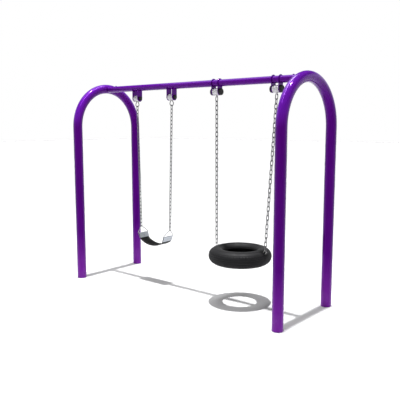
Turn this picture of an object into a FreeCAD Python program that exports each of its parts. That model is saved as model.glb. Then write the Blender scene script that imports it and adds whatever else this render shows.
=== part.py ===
import FreeCAD, Part
import math
import os

# Two-arch swing frame with a belt swing and a tyre swing on one top beam.
# Millimetres. X runs along the beam, Z is up, and the origin is on the ground under the beam's middle.
# The belt swing hangs at -X and the tyre swing at +X.

# ---- frame ----
ARCH_SPACING = 2992.0        # between the planes of the two arches
LEG_SPREAD = 988.6           # between the axes of one arch's legs
ARCH_CROWN = 2440.0          # ground to the arch tube's axis at the crown
ARCH_OD = 114.3
ARCH_WALL = 3.6
BEAM_OD = 76.1
BEAM_WALL = 3.6
BEAM_BELOW_CROWN = 10.0      # beam axis below the crown axis
WELD_GAP = 0.2               # root gap that a weld bead fills

# ---- joint between beam and arch ----
SPIGOT_WALL = 4.0
SPIGOT_LENGTH = 180.0        # from the arch tube's side into the beam
SPIGOT_PLAY = 0.3            # radial, inside the beam
BEAM_BOLT_D = 12.0
BEAM_BOLT_HEAD_D = 21.0
BEAM_BOLT_HEAD_H = 6.0
BEAM_BOLT_FIRST = 50.0       # from the arch tube's side
BEAM_BOLT_PITCH = 70.0
BEAM_BOLTS_PER_END = 2
WELD_NUT_D = 20.0
WELD_NUT_H = 12.0
BOLT_HOLE_PLAY = 0.15        # radial, for every bolt in a plain hole

# ---- hangers ----
BELT_HANGER_SPAN = 588.0     # between the two belt hangers
BELT_HANGER_FROM_ARCH = 571.0
TYRE_HANGER_SPAN = 781.5     # between the two tyre hangers
TYRE_HANGER_FROM_ARCH = 367.8
PLATE_PITCH = 87.0           # between the middles of a hanger's two plates
PLATE_THICK = 8.0
PLATE_WIDTH = 80.0
PLATE_EDGE = 1.0             # rounding of the plates' outline
PLATE_TOP_BELOW_AXIS = 12.0  # top of the welded belt plates, below the beam axis
RING_LAND = 12.0             # ring of the tyre plates outside the beam
BELT_HOUSING_D = 74.0
BELT_HOUSING_BELOW_BEAM = 55.0
TYRE_HOUSING_D = 78.0
TYRE_HOUSING_BELOW_BEAM = 18.0
HOUSING_END_CHAMFER = 2.0
HOUSING_GROOVE = 1.5         # depth and width of the two grooves round a housing
HOUSING_GROOVE_FROM_END = 17.0
PIVOT_BOLT_D = 16.0
PIVOT_HEAD_AF = 24.0
PIVOT_HEAD_H = 10.0
PIVOT_NUT_H = 13.0
PIVOT_BOLT_BEYOND_NUT = 2.0
PIVOT_PLAY = 0.05            # radial running clearance of bolt in bush
BUSH_WALL = 7.0
BUSH_LENGTH = 24.0
WASHER_D = 40.0
WASHER_THICK = 2.0
WASHER_PLAY = 0.15           # radial, over the bolt
SIDE_PLAY = 0.3              # between a thrust washer and its housing
BELT_CAP_D = 50.0
BELT_CAP_H = 18.0
TYRE_CAP_D = 75.0
TYRE_CAP_H = 22.0
CAP_WALL = 2.5
CAP_EDGE = 5.0

# ---- belt swing ----
RING_WIRE = 10.0             # pear-shaped ring under a belt housing
RING_DROP = 70.0             # housing underside to the ring's lowest point
RING_LOW_R = 28.0
RING_TOP_R = 7.0
BELT_CHAIN_WIRE = 8.0
BELT_CHAIN_WIDTH = 32.0
BELT_CHAIN_PITCH = 45.0
SEAT_CHAIN_SPAN = 505.0      # between the two triangle tops
SEAT_CHAIN_HEIGHT = 687.0    # ground to the triangle tops
TRIANGLE_WIRE = 8.0
TRIANGLE_TOP_R = 9.5
TRIANGLE_CORNER_R = 9.0
TRIANGLE_WIDTH = 170.0       # between the wire axes at the two lower corners
TRIANGLE_HEIGHT = 93.0       # top wire axis to bar axis, along the lean
SEAT_LEAN = 21.5             # degrees from the vertical, triangles and clamps
CLAMP_WIDTH = 156.0
CLAMP_LENGTH = 60.0
CLAMP_PLATE = 2.5
BELT_WIDTH = 150.0
BELT_THICK = 10.0
BELT_FROM_BAR = 7.0          # bar axis to the belt's end inside the clamp
BELT_BOTTOM = 470.0          # ground to the belt's underside
BELT_BEND_R = 45.0           # bend just below a clamp
INSERT_WIDTH = 110.0
INSERT_THICK = 1.5
INSERT_FROM_BAR = 14.0
RIVET_D = 6.5
RIVET_HEAD_D = 13.0
RIVET_HEAD_H = 2.5
RIVET_FROM_BAR = 36.0
RIVET_PITCH = 50.0
RIVETS_PER_CLAMP = 3
RIVET_PLAY = 0.1

# ---- tyre swing ----
TYRE_CHAIN_WIRE = 9.0
TYRE_CHAIN_WIDTH = 36.0
TYRE_CHAIN_PITCH = 50.0
LUG_THICK = 8.0
LUG_WIDTH = 30.0
LUG_HOLE_PLAY = 5.0          # lug hole over the chain's wire, on the diameter
LUG_HOLE_BELOW_HOUSING = 10.0
LUG_LAND = 7.0               # below the hole
LUG_GAP = 0.7                # under the first link, which may hang at a slant
TYRE_OD = 702.0
TYRE_WIDTH = 182.0
TYRE_BEAD_D = 381.0
TYRE_BEAD_SPREAD = 110.0     # between the two beads' outer edges
TYRE_WALL = 9.0
TYRE_WIDEST_SHARE = 0.62     # of the section height, from crest to widest ring
TYRE_FROM_ARCH = 811.0       # tyre axis to the plane of the arch at +X
TYRE_MID_HEIGHT = 535.0
UBOLT_WIRE = 8.0
UBOLT_SPAN = 28.0            # between the leg axes
UBOLT_ANGLE = 48.0           # degrees round the tyre's section from the crest
UBOLT_STANDOFF = 20.0        # tyre surface to the middle of the bow
UBOLT_HOLE_PLAY = 0.15
BACKING_LENGTH = 60.0
BACKING_WIDTH = 44.0
BACKING_THICK = 8.0
UBOLT_NUT_AF = 13.0
UBOLT_NUT_H = 6.5
UBOLT_BEYOND_NUT = 2.0
LINK_GAP = 0.3               # between wires that hang in each other

# ---- worked out from the sizes above ----
ARCH_R = ARCH_OD / 2
BEAM_R = BEAM_OD / 2
BEND_R = LEG_SPREAD / 2
SPRING_Z = ARCH_CROWN - BEND_R
BEAM_Z = ARCH_CROWN - BEAM_BELOW_CROWN
ARCH_X = ARCH_SPACING / 2
BELT_HANGER_XS = (-ARCH_X + BELT_HANGER_FROM_ARCH, -ARCH_X + BELT_HANGER_FROM_ARCH + BELT_HANGER_SPAN)
TYRE_HANGER_XS = (ARCH_X - TYRE_HANGER_FROM_ARCH - TYRE_HANGER_SPAN, ARCH_X - TYRE_HANGER_FROM_ARCH)
BELT_PIVOT_Z = BEAM_Z - BEAM_R - BELT_HOUSING_BELOW_BEAM - BELT_HOUSING_D / 2
TYRE_PIVOT_Z = BEAM_Z - BEAM_R - TYRE_HOUSING_BELOW_BEAM - TYRE_HOUSING_D / 2
PLATE_GAP = PLATE_PITCH - PLATE_THICK
HOUSING_LENGTH = PLATE_GAP - 2 * (WASHER_THICK + SIDE_PLAY)
SEAT_X = sum(BELT_HANGER_XS) / 2
TYRE_X = ARCH_X - TYRE_FROM_ARCH
TYRE_SECTION = (TYRE_OD - TYRE_BEAD_D) / 2
LUG_HOLE_D = TYRE_CHAIN_WIRE + LUG_HOLE_PLAY
LEAN = math.radians(SEAT_LEAN)
SIDES = (("left", -1), ("right", 1))


def vec(x, y, z):
    return FreeCAD.Vector(x, y, z)


def between(start, end, radius):
    """Solid cylinder between two points."""
    along = end - start
    return Part.makeCylinder(radius, along.Length, start, along)


def tube(start, end, outer, inner):
    return between(start, end, outer).cut(between(start, end, inner))


def along_x(x0, x1, z, outer, inner=0.0):
    """Cylinder or tube with its axis parallel to X, in the beam's plane."""
    start = vec(x0, 0, z)
    end = vec(x1, 0, z)
    if inner > 0:
        return tube(start, end, outer, inner)
    return between(start, end, outer)


def hexagon(start, direction, across_flats, height):
    """Hexagonal prism; one flat faces the Y direction."""
    side = direction.cross(vec(0, 1, 0))
    corners = []
    for i in range(7):
        turn = math.radians(60 * i + 60)
        spoke = vec(0, 1, 0) * math.sin(turn) + side * math.cos(turn)
        corners.append(start + spoke * (across_flats / math.sqrt(3)))
    return Part.Face(Part.makePolygon(corners)).extrude(direction * height)


def sweep_round(edges, radius):
    """Round bar along a path of tangent edges."""
    path = Part.Wire(edges)
    start = path.Edges[0].valueAt(path.Edges[0].FirstParameter)
    heading = path.Edges[0].tangentAt(path.Edges[0].FirstParameter)
    ring = Part.Wire(Part.makeCircle(radius, start, heading))
    return path.makePipeShell([ring], True, True)


def round_loop(circles, origin, u, v):
    """Closed path of outer tangents and arcs round circles (a, b, r) listed anticlockwise in u, v."""
    count = len(circles)
    normals = []
    for i in range(count):
        a0, b0, r0 = circles[i]
        a1, b1, r1 = circles[(i + 1) % count]
        reach = math.hypot(a1 - a0, b1 - b0)
        heading = math.atan2(b1 - b0, a1 - a0)
        normals.append(heading - math.acos((r0 - r1) / reach))

    def at(circle, turn):
        a, b, r = circle
        return origin + u * (a + r * math.cos(turn)) + v * (b + r * math.sin(turn))

    edges = []
    for i in range(count):
        here = circles[i]
        after = circles[(i + 1) % count]
        enter = normals[i - 1]
        leave = normals[i]
        while leave < enter:
            leave += 2 * math.pi
        edges.append(Part.Arc(at(here, enter), at(here, (enter + leave) / 2), at(here, leave)).toShape())
        edges.append(Part.LineSegment(at(here, normals[i]), at(after, normals[i])).toShape())
    return edges


def save(name, *solids):
    shape = solids[0] if len(solids) == 1 else Part.makeCompound(list(solids))
    shape.exportStep("parts/" + name + ".step")


# ---- frame ----
def arch_bar(x, radius):
    """Solid round bar along an arch's axis."""
    foot_a = vec(x, -BEND_R, 0)
    spring_a = vec(x, -BEND_R, SPRING_Z)
    spring_b = vec(x, BEND_R, SPRING_Z)
    foot_b = vec(x, BEND_R, 0)
    bend = Part.Arc(spring_a, vec(x, 0, ARCH_CROWN), spring_b).toShape()
    legs = (Part.LineSegment(foot_a, spring_a).toShape(), Part.LineSegment(spring_b, foot_b).toShape())
    return sweep_round([legs[0], bend, legs[1]], radius)


def arch(x):
    return arch_bar(x, ARCH_R).cut(arch_bar(x, ARCH_R - ARCH_WALL))


def arch_side():
    """Distance from an arch's plane to its tube's side, at the beam's axis."""
    return math.sqrt(ARCH_R ** 2 - BEAM_BELOW_CROWN ** 2)


def beam_bolt_xs(side):
    first = ARCH_X - arch_side() - BEAM_BOLT_FIRST
    return [side * (first - i * BEAM_BOLT_PITCH) for i in range(BEAM_BOLTS_PER_END)]


def beam_bolt_holes(side):
    """Drills for the bolts, through the upper walls only."""
    drills = []
    for x in beam_bolt_xs(side):
        low = vec(x, 0, BEAM_Z)
        drills.append(between(low, low + vec(0, 0, BEAM_R + 1), BEAM_BOLT_D / 2 + BOLT_HOLE_PLAY))
    return drills


def beam():
    pipe = along_x(-ARCH_X, ARCH_X, BEAM_Z, BEAM_R, BEAM_R - BEAM_WALL)
    for _, side in SIDES:
        pipe = pipe.cut(arch_bar(side * ARCH_X, ARCH_R + WELD_GAP))
        for drill in beam_bolt_holes(side):
            pipe = pipe.cut(drill)
    return pipe.Solids[0]


def spigot(side):
    outer = BEAM_R - BEAM_WALL - SPIGOT_PLAY
    end = side * (ARCH_X - arch_side() - SPIGOT_LENGTH)
    pipe = along_x(side * ARCH_X, end, BEAM_Z, outer, outer - SPIGOT_WALL)
    pipe = pipe.cut(arch_bar(side * ARCH_X, ARCH_R + WELD_GAP))
    for drill in beam_bolt_holes(side):
        pipe = pipe.cut(drill)
    return pipe.Solids[0]


def weld_nut_top():
    """Height above the beam axis at which a flat round nut meets the spigot's inner wall."""
    inner = BEAM_R - BEAM_WALL - SPIGOT_PLAY - SPIGOT_WALL
    return math.sqrt(inner ** 2 - (WELD_NUT_D / 2) ** 2)


def beam_bolt(x):
    top = vec(x, 0, BEAM_Z + BEAM_R)
    foot = vec(x, 0, BEAM_Z + weld_nut_top() - WELD_NUT_H)
    head = between(top, top + vec(0, 0, BEAM_BOLT_HEAD_H), BEAM_BOLT_HEAD_D / 2)
    rim = [e for e in head.Edges if abs(e.BoundBox.ZMin - head.BoundBox.ZMax) < 1e-6]
    head = head.makeFillet(BEAM_BOLT_HEAD_H / 2, rim)
    socket = hexagon(top + vec(0, 0, BEAM_BOLT_HEAD_H / 2), vec(0, 0, 1), BEAM_BOLT_D / 2, BEAM_BOLT_HEAD_H)
    return head.cut(socket).fuse(between(foot, top, BEAM_BOLT_D / 2)).removeSplitter()


def weld_nut(x):
    top = vec(x, 0, BEAM_Z + weld_nut_top())
    foot = top - vec(0, 0, WELD_NUT_H)
    return tube(foot, top, WELD_NUT_D / 2, BEAM_BOLT_D / 2 + BOLT_HOLE_PLAY)


# ---- hangers ----
def tongue(x, pivot_z, top_z):
    """Plate blank normal to X: straight sides and a round end about the pivot."""
    x0 = x - PLATE_THICK / 2
    blade = Part.makeBox(PLATE_THICK, PLATE_WIDTH, top_z - pivot_z, vec(x0, -PLATE_WIDTH / 2, pivot_z))
    return blade.fuse(along_x(x0, x0 + PLATE_THICK, pivot_z, PLATE_WIDTH / 2))


def round_outline(plate):
    """Round the plate's outline edges, on both faces."""
    rim = [e for e in plate.Edges if e.BoundBox.XLength < 1e-6]
    return plate.makeFillet(PLATE_EDGE, rim)


def finished_plate(x, blank, pivot_z):
    over = PLATE_THICK
    plate = round_outline(blank.removeSplitter())
    plate = plate.cut(along_x(x - over, x + over, BEAM_Z, BEAM_R + WELD_GAP))
    return plate.cut(along_x(x - over, x + over, pivot_z, PIVOT_BOLT_D / 2 + BOLT_HOLE_PLAY))


def belt_plate(x):
    blank = tongue(x, BELT_PIVOT_Z, BEAM_Z - PLATE_TOP_BELOW_AXIS)
    return finished_plate(x, blank, BELT_PIVOT_Z)


def tyre_plate(x):
    x0 = x - PLATE_THICK / 2
    blank = tongue(x, TYRE_PIVOT_Z, BEAM_Z)
    blank = blank.fuse(along_x(x0, x0 + PLATE_THICK, BEAM_Z, BEAM_R + RING_LAND))
    return finished_plate(x, blank, TYRE_PIVOT_Z)


def plate_xs(hanger_x):
    return (hanger_x - PLATE_PITCH / 2, hanger_x + PLATE_PITCH / 2)


def pivot_bolt(hanger_x, pivot_z):
    """Hexagon bolt with its head at -X."""
    face = hanger_x - PLATE_PITCH / 2 - PLATE_THICK / 2
    far = hanger_x + PLATE_PITCH / 2 + PLATE_THICK / 2
    tip = far + PIVOT_NUT_H + PIVOT_BOLT_BEYOND_NUT
    head = hexagon(vec(face, 0, pivot_z), vec(-1, 0, 0), PIVOT_HEAD_AF, PIVOT_HEAD_H)
    return head.fuse(along_x(face, tip, pivot_z, PIVOT_BOLT_D / 2))


def pivot_nut(hanger_x, pivot_z):
    face = hanger_x + PLATE_PITCH / 2 + PLATE_THICK / 2
    blank = hexagon(vec(face, 0, pivot_z), vec(1, 0, 0), PIVOT_HEAD_AF, PIVOT_NUT_H)
    return blank.cut(along_x(face - 1, face + PIVOT_NUT_H + 1, pivot_z, PIVOT_BOLT_D / 2 + BOLT_HOLE_PLAY))


def bolt_cap(hanger_x, pivot_z, side, diameter, height):
    """Cup over a bolt head or nut, open towards the plate."""
    face = hanger_x + side * (PLATE_PITCH / 2 + PLATE_THICK / 2)
    crown = face + side * height
    cup = along_x(face, crown, pivot_z, diameter / 2)
    rim = [e for e in cup.Edges if abs(e.CenterOfMass.x - crown) < 1e-6]
    cup = cup.makeFillet(CAP_EDGE, rim)
    return cup.cut(along_x(face, crown - side * CAP_WALL, pivot_z, diameter / 2 - CAP_WALL))


def thrust_washers(hanger_x, pivot_z):
    washers = []
    for _, side in SIDES:
        face = hanger_x + side * PLATE_GAP / 2
        inner = PIVOT_BOLT_D / 2 + WASHER_PLAY
        washers.append(along_x(face, face - side * WASHER_THICK, pivot_z, WASHER_D / 2, inner))
    return washers


def bush_outer_radius():
    return PIVOT_BOLT_D / 2 + PIVOT_PLAY + BUSH_WALL


def housing(hanger_x, pivot_z, diameter):
    """Round bearing housing with chamfered ends and two shallow grooves."""
    x0 = hanger_x - HOUSING_LENGTH / 2
    x1 = hanger_x + HOUSING_LENGTH / 2
    body = along_x(x0, x1, pivot_z, diameter / 2)
    ends = [e for e in body.Edges if e.BoundBox.XLength < 1e-6]
    body = body.makeChamfer(HOUSING_END_CHAMFER, ends)
    for x in (x0 + HOUSING_GROOVE_FROM_END, x1 - HOUSING_GROOVE_FROM_END - HOUSING_GROOVE):
        body = body.cut(along_x(x, x + HOUSING_GROOVE, pivot_z, diameter, diameter / 2 - HOUSING_GROOVE))
    return body.cut(along_x(x0, x1, pivot_z, bush_outer_radius()))


def bushes(hanger_x, pivot_z):
    pair = []
    for _, side in SIDES:
        end = hanger_x + side * HOUSING_LENGTH / 2
        inner = PIVOT_BOLT_D / 2 + PIVOT_PLAY
        pair.append(along_x(end, end - side * BUSH_LENGTH, pivot_z, bush_outer_radius(), inner))
    return pair


# ---- chains ----
def chain(top, bottom, wire, width, nominal_pitch, top_bar, bottom_bar, first_in_xz):
    """Welded chain from one bearing bar to another, each given by its axis point and its diameter.

    The number of links is even, and the pitch is fitted to the distance.
    """
    run = bottom - top
    reach = run.Length + (top_bar + bottom_bar) / 2 + LINK_GAP
    count = 2 * round(reach / nominal_pitch / 2)
    pitch = reach / count
    inner = pitch + LINK_GAP
    bend = (width - wire) / 2
    half = (inner + wire) / 2 - bend
    down = run.normalize()
    ahead = top + down * (inner / 2 - top_bar / 2 - LINK_GAP)
    across = vec(0, 1, 0).cross(down)
    links = []
    for i in range(count):
        flat = (i % 2 == 0) == first_in_xz
        side = across if flat else vec(0, 1, 0)
        path = round_loop([(0, -half, bend), (0, half, bend)], ahead + down * (pitch * i), side, down)
        links.append(sweep_round(path, wire / 2))
    return links


# ---- belt swing ----
def pear_ring(hanger_x):
    """Ring of round bar under a belt housing, welded to it at its narrow top."""
    under = BELT_PIVOT_Z - BELT_HOUSING_D / 2
    low = under - RING_DROP + RING_WIRE / 2 + RING_LOW_R
    circles = [(0, low, RING_LOW_R), (0, under, RING_TOP_R)]
    bar = sweep_round(round_loop(circles, vec(hanger_x, 0, 0), vec(1, 0, 0), vec(0, 0, 1)), RING_WIRE / 2)
    x0 = hanger_x - HOUSING_LENGTH / 2
    return bar.cut(along_x(x0, x0 + HOUSING_LENGTH, BELT_PIVOT_Z, BELT_HOUSING_D / 2)).Solids[0]


def ring_bottom(hanger_x):
    return vec(hanger_x, 0, BELT_PIVOT_Z - BELT_HOUSING_D / 2 - RING_DROP + RING_WIRE / 2)


def triangle_top(side):
    return vec(SEAT_X + side * SEAT_CHAIN_SPAN / 2, 0, SEAT_CHAIN_HEIGHT)


def down_lean(side):
    """Unit vector down a triangle and clamp, leaning in towards the seat's middle."""
    return vec(-side * math.sin(LEAN), 0, -math.cos(LEAN))


def out_lean(side):
    """Unit vector square to the lean, pointing out and down from the seat."""
    return vec(side * math.cos(LEAN), 0, -math.sin(LEAN))


def bar_point(side):
    return triangle_top(side) + down_lean(side) * TRIANGLE_HEIGHT


def triangle(side):
    """Closed triangle of round wire; its lower bar lies in the clamp's fold."""
    half = TRIANGLE_WIDTH / 2 - TRIANGLE_CORNER_R
    low = TRIANGLE_HEIGHT - TRIANGLE_CORNER_R
    circles = [
        (0, TRIANGLE_TOP_R, TRIANGLE_TOP_R),
        (half, low, TRIANGLE_CORNER_R),
        (-half, low, TRIANGLE_CORNER_R),
    ]
    path = round_loop(circles, triangle_top(side), vec(0, 1, 0), down_lean(side))
    return sweep_round(path, TRIANGLE_WIRE / 2)


def seat_curve(offset):
    """Seat line in the XZ plane, from one clamp to the other, at an offset below the belt's middle."""
    right_bar = bar_point(1)
    down = down_lean(1)
    out = out_lean(1)
    mouth = right_bar + down * CLAMP_LENGTH
    bend = mouth - out * BELT_BEND_R
    low = BELT_BOTTOM + BELT_THICK / 2
    rise = bend.z - low
    run = bend.x - SEAT_X
    sag_r = (run ** 2 + rise ** 2 - BELT_BEND_R ** 2) / (2 * (rise - BELT_BEND_R))
    centre = vec(SEAT_X, 0, low + sag_r)
    heading = (bend - centre).normalize()
    half_turn = (heading + out).normalize()

    def mirrored(p):
        return vec(2 * SEAT_X - p.x, 0, p.z)

    top = out * offset
    enter = mouth + top
    middle = bend + half_turn * (BELT_BEND_R + offset)
    leave = bend + heading * (BELT_BEND_R + offset)
    lowest = vec(SEAT_X, 0, low - offset)
    return right_bar, top, down, enter, middle, leave, lowest, mirrored


def seat_edges(offset, from_bar):
    """Edges of the seat line from the end at -X to the end at +X."""
    right_bar, top, down, enter, middle, leave, lowest, mirrored = seat_curve(offset)
    start = right_bar + down * from_bar + top
    return [
        Part.LineSegment(mirrored(start), mirrored(enter)).toShape(),
        Part.Arc(mirrored(enter), mirrored(middle), mirrored(leave)).toShape(),
        Part.Arc(mirrored(leave), lowest, leave).toShape(),
        Part.Arc(leave, middle, enter).toShape(),
        Part.LineSegment(enter, start).toShape(),
    ]


def seat_strip(thickness, width, from_bar):
    """Strip of even thickness along the seat line."""
    under = seat_edges(thickness / 2, from_bar)
    over = seat_edges(-thickness / 2, from_bar)
    ends = []
    for i in (0, -1):
        at = 0 if i == 0 else 1
        ends.append(Part.LineSegment(under[i].Vertexes[at].Point, over[i].Vertexes[at].Point).toShape())
    outline = Part.Wire(Part.__sortEdges__(under + over + ends))
    strip = Part.Face(outline).extrude(vec(0, width, 0))
    strip.translate(vec(0, -width / 2, 0))
    return strip


def rivet_seats(side):
    """Middle points of one clamp's rivets, on the belt's middle surface."""
    seats = []
    for i in range(RIVETS_PER_CLAMP):
        y = (i - (RIVETS_PER_CLAMP - 1) / 2) * RIVET_PITCH
        seats.append(bar_point(side) + down_lean(side) * RIVET_FROM_BAR + vec(0, y, 0))
    return seats


def rivet_drills():
    drills = []
    for _, side in SIDES:
        reach = out_lean(side) * (BELT_THICK / 2 + CLAMP_PLATE + 1)
        for seat in rivet_seats(side):
            drills.append(between(seat - reach, seat + reach, RIVET_D / 2 + RIVET_PLAY))
    return drills


def rivet(seat, side):
    out = out_lean(side)
    half = BELT_THICK / 2 + CLAMP_PLATE
    shape = between(seat - out * half, seat + out * half, RIVET_D / 2)
    for way in (-1, 1):
        foot = seat + out * (way * half)
        head = between(foot, foot + out * (way * RIVET_HEAD_H), RIVET_HEAD_D / 2)
        top = foot + out * (way * RIVET_HEAD_H)
        rim = [e for e in head.Edges if (e.CenterOfMass - top).Length < 1e-6]
        shape = shape.fuse(head.makeFillet(RIVET_HEAD_H * 0.7, rim))
    return shape


def clamp(side):
    """Plate folded over the triangle's bar, with the belt's end between its two leaves."""
    inner = BELT_THICK / 2
    outer = inner + CLAMP_PLATE
    bar = bar_point(side)
    down = down_lean(side)
    out = out_lean(side)
    edge = vec(0, -CLAMP_WIDTH / 2, 0)

    def hairpin(radius):
        a = bar + out * radius + edge
        b = bar - down * radius + edge
        c = bar - out * radius + edge
        d = c + down * CLAMP_LENGTH
        e = a + down * CLAMP_LENGTH
        edges = [
            Part.Arc(a, b, c).toShape(),
            Part.LineSegment(c, d).toShape(),
            Part.LineSegment(d, e).toShape(),
            Part.LineSegment(e, a).toShape(),
        ]
        return Part.Face(Part.Wire(edges)).extrude(vec(0, CLAMP_WIDTH, 0))

    return hairpin(outer).cut(hairpin(inner))


def drilled(shape, drills):
    for drill in drills:
        shape = shape.cut(drill)
    return shape


# ---- tyre swing ----
def widest_radius():
    """Radius from the tyre's axis to the widest place of its section."""
    return TYRE_OD / 2 - TYRE_WIDEST_SHARE * TYRE_SECTION


def section_reach(outward, inset):
    """Half axis of the section's ellipse, from the widest place to the crest or towards the bead."""
    if outward:
        return TYRE_WIDEST_SHARE * TYRE_SECTION - inset
    lean_in = math.sqrt(1 - (TYRE_BEAD_SPREAD / TYRE_WIDTH) ** 2)
    return (widest_radius() - TYRE_BEAD_D / 2) / lean_in - inset


def section_point(turn, inset):
    """Point of the tyre's section at an angle from the crest: radius from the axis, height from the middle."""
    reach = section_reach(math.cos(turn) > 0, inset)
    return widest_radius() + reach * math.cos(turn), (TYRE_WIDTH / 2 - inset) * math.sin(turn)


def bead_turn(inset):
    """Angle at which the section, at an inset, reaches the bead's radius."""
    return math.acos((TYRE_BEAD_D / 2 - widest_radius()) / section_reach(False, inset))


def bead_point(inset, way):
    radius, height = section_point(way * bead_turn(inset), inset)
    return vec(TYRE_X + radius, 0, TYRE_MID_HEIGHT + height)


def section_arc(start, stop, inset):
    """Elliptical arc of the section line between two angles from the crest."""
    reach = section_reach(abs(start + stop) < math.pi, inset)
    half_height = TYRE_WIDTH / 2 - inset
    centre = vec(TYRE_X + widest_radius(), 0, TYRE_MID_HEIGHT)
    if reach > half_height:
        ellipse = Part.Ellipse(centre + vec(reach, 0, 0), centre + vec(0, 0, half_height), centre)
        return Part.ArcOfEllipse(ellipse, start, stop).toShape()
    ellipse = Part.Ellipse(centre + vec(0, 0, half_height), centre - vec(reach, 0, 0), centre)
    return Part.ArcOfEllipse(ellipse, start - math.pi / 2, stop - math.pi / 2).toShape()


def section_line(inset):
    """Section line in three arcs, from the lower bead over the crest to the upper bead."""
    end = bead_turn(inset)
    quarter = math.pi / 2
    spans = ((-end, -quarter), (-quarter, quarter), (quarter, end))
    return [section_arc(start, stop, inset) for start, stop in spans]


def turned(edges):
    """Section turned about the tyre's axis, with its seam away from the U-bolts."""
    outline = Part.Wire(Part.__sortEdges__(edges))
    outline.rotate(vec(TYRE_X, 0, 0), vec(0, 0, 1), 90)
    return Part.Face(outline).revolve(vec(TYRE_X, 0, 0), vec(0, 0, 1), 360)


def tyre_cavity():
    """Air space inside the tyre, closed at the bead radius."""
    mouth = Part.LineSegment(bead_point(TYRE_WALL, -1), bead_point(TYRE_WALL, 1)).toShape()
    return turned(section_line(TYRE_WALL) + [mouth])


def ubolt_frame(side):
    """Bow middle, outward normal and tangent of one U-bolt on the tyre's upper shoulder."""
    turn = math.radians(UBOLT_ANGLE)
    radius, height = section_point(turn, 0)
    crest = TYRE_WIDEST_SHARE * TYRE_SECTION
    normal = vec(side * math.cos(turn) / crest, 0, math.sin(turn) / (TYRE_WIDTH / 2)).normalize()
    tangent = vec(0, 1, 0).cross(normal)
    foot = vec(TYRE_X + side * radius, 0, TYRE_MID_HEIGHT + height)
    return foot + normal * UBOLT_STANDOFF, normal, tangent


def bow_top(side):
    """Bearing point of the chain: the bow's wire axis straight above the bow's middle."""
    return ubolt_frame(side)[0] + vec(0, 0, UBOLT_SPAN / 2)


def seat_depth():
    """Bow middle to the backing plate's flat underside."""
    return UBOLT_STANDOFF + TYRE_WALL + BACKING_THICK


def ubolt(side):
    middle, normal, tangent = ubolt_frame(side)
    half = UBOLT_SPAN / 2
    tail = seat_depth() + UBOLT_NUT_H + UBOLT_BEYOND_NUT
    a = middle + tangent * half
    b = middle - tangent * half
    edges = [
        Part.LineSegment(a - normal * tail, a).toShape(),
        Part.Arc(a, middle + normal * half, b).toShape(),
        Part.LineSegment(b, b - normal * tail).toShape(),
    ]
    return sweep_round(edges, UBOLT_WIRE / 2)


def ubolt_drills(side):
    middle, normal, tangent = ubolt_frame(side)
    drills = []
    for way in (-1, 1):
        start = middle + tangent * (way * UBOLT_SPAN / 2)
        drills.append(between(start, start - normal * (seat_depth() + 5), UBOLT_WIRE / 2 + UBOLT_HOLE_PLAY))
    return drills


def backing_plate(side):
    """Plate inside the tyre: its outer face follows the tyre's inner wall, its inner face is flat."""
    middle, normal, tangent = ubolt_frame(side)
    across = vec(0, 1, 0)
    corner = middle - normal * seat_depth() - tangent * (BACKING_LENGTH / 2) - across * (BACKING_WIDTH / 2)
    corners = [
        corner,
        corner + tangent * BACKING_LENGTH,
        corner + tangent * BACKING_LENGTH + across * BACKING_WIDTH,
        corner + across * BACKING_WIDTH,
        corner,
    ]
    block = Part.Face(Part.makePolygon(corners)).extrude(normal * (BACKING_THICK + TYRE_WALL))
    return drilled(block.common(tyre_cavity()), ubolt_drills(side)).Solids[0]


def ubolt_nuts(side):
    middle, normal, tangent = ubolt_frame(side)
    nuts = []
    for way in (-1, 1):
        face = middle + tangent * (way * UBOLT_SPAN / 2) - normal * seat_depth()
        inward = normal * -1
        blank = hexagon(face, inward, UBOLT_NUT_AF, UBOLT_NUT_H)
        bore = between(face - inward, face + inward * (UBOLT_NUT_H + 1), UBOLT_WIRE / 2 + UBOLT_HOLE_PLAY)
        nuts.append(blank.cut(bore))
    return nuts


def tyre():
    edges = section_line(0) + section_line(TYRE_WALL)
    for way in (-1, 1):
        edges.append(Part.LineSegment(bead_point(0, way), bead_point(TYRE_WALL, way)).toShape())
    body = turned(edges)
    for _, side in SIDES:
        body = drilled(body, ubolt_drills(side))
    return body


def lug_hole_z():
    return TYRE_PIVOT_Z - TYRE_HOUSING_D / 2 - LUG_HOLE_BELOW_HOUSING


def lug(hanger_x):
    """Plate normal to X, welded under a tyre housing, with the hole for the chain's first link."""
    x0 = hanger_x - LUG_THICK / 2
    x1 = hanger_x + LUG_THICK / 2
    radius = LUG_WIDTH / 2
    low = lug_hole_z() - LUG_HOLE_D / 2 - LUG_LAND + radius
    top = TYRE_PIVOT_Z - TYRE_HOUSING_D / 4
    blade = Part.makeBox(LUG_THICK, LUG_WIDTH, top - low, vec(x0, -radius, low))
    blade = blade.fuse(along_x(x0, x1, low, radius))
    blade = blade.cut(along_x(x0 - 1, x1 + 1, TYRE_PIVOT_Z, TYRE_HOUSING_D / 2 - HOUSING_GROOVE))
    return blade.cut(along_x(x0 - 1, x1 + 1, lug_hole_z(), LUG_HOLE_D / 2))


def lug_bearing(hanger_x):
    """Top of the lug's lower bar, raised by the fall of the link's bend across the lug."""
    bend = (TYRE_CHAIN_WIDTH - TYRE_CHAIN_WIRE) / 2
    fall = bend - math.sqrt(bend ** 2 - (LUG_THICK / 2) ** 2)
    return vec(hanger_x, 0, lug_hole_z() - LUG_HOLE_D / 2 + fall + LUG_GAP)


# ---- build ----
def build_frame():
    spigots = []
    bolts = []
    nuts = []
    for name, side in SIDES:
        save("arch_" + name, arch(side * ARCH_X))
        save("beam_spigot_" + name, spigot(side))
        bolts += [beam_bolt(x) for x in beam_bolt_xs(side)]
        nuts += [weld_nut(x) for x in beam_bolt_xs(side)]
    save("beam", beam())
    save("beam_bolts", *bolts)
    save("beam_weld_nuts", *nuts)


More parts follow.
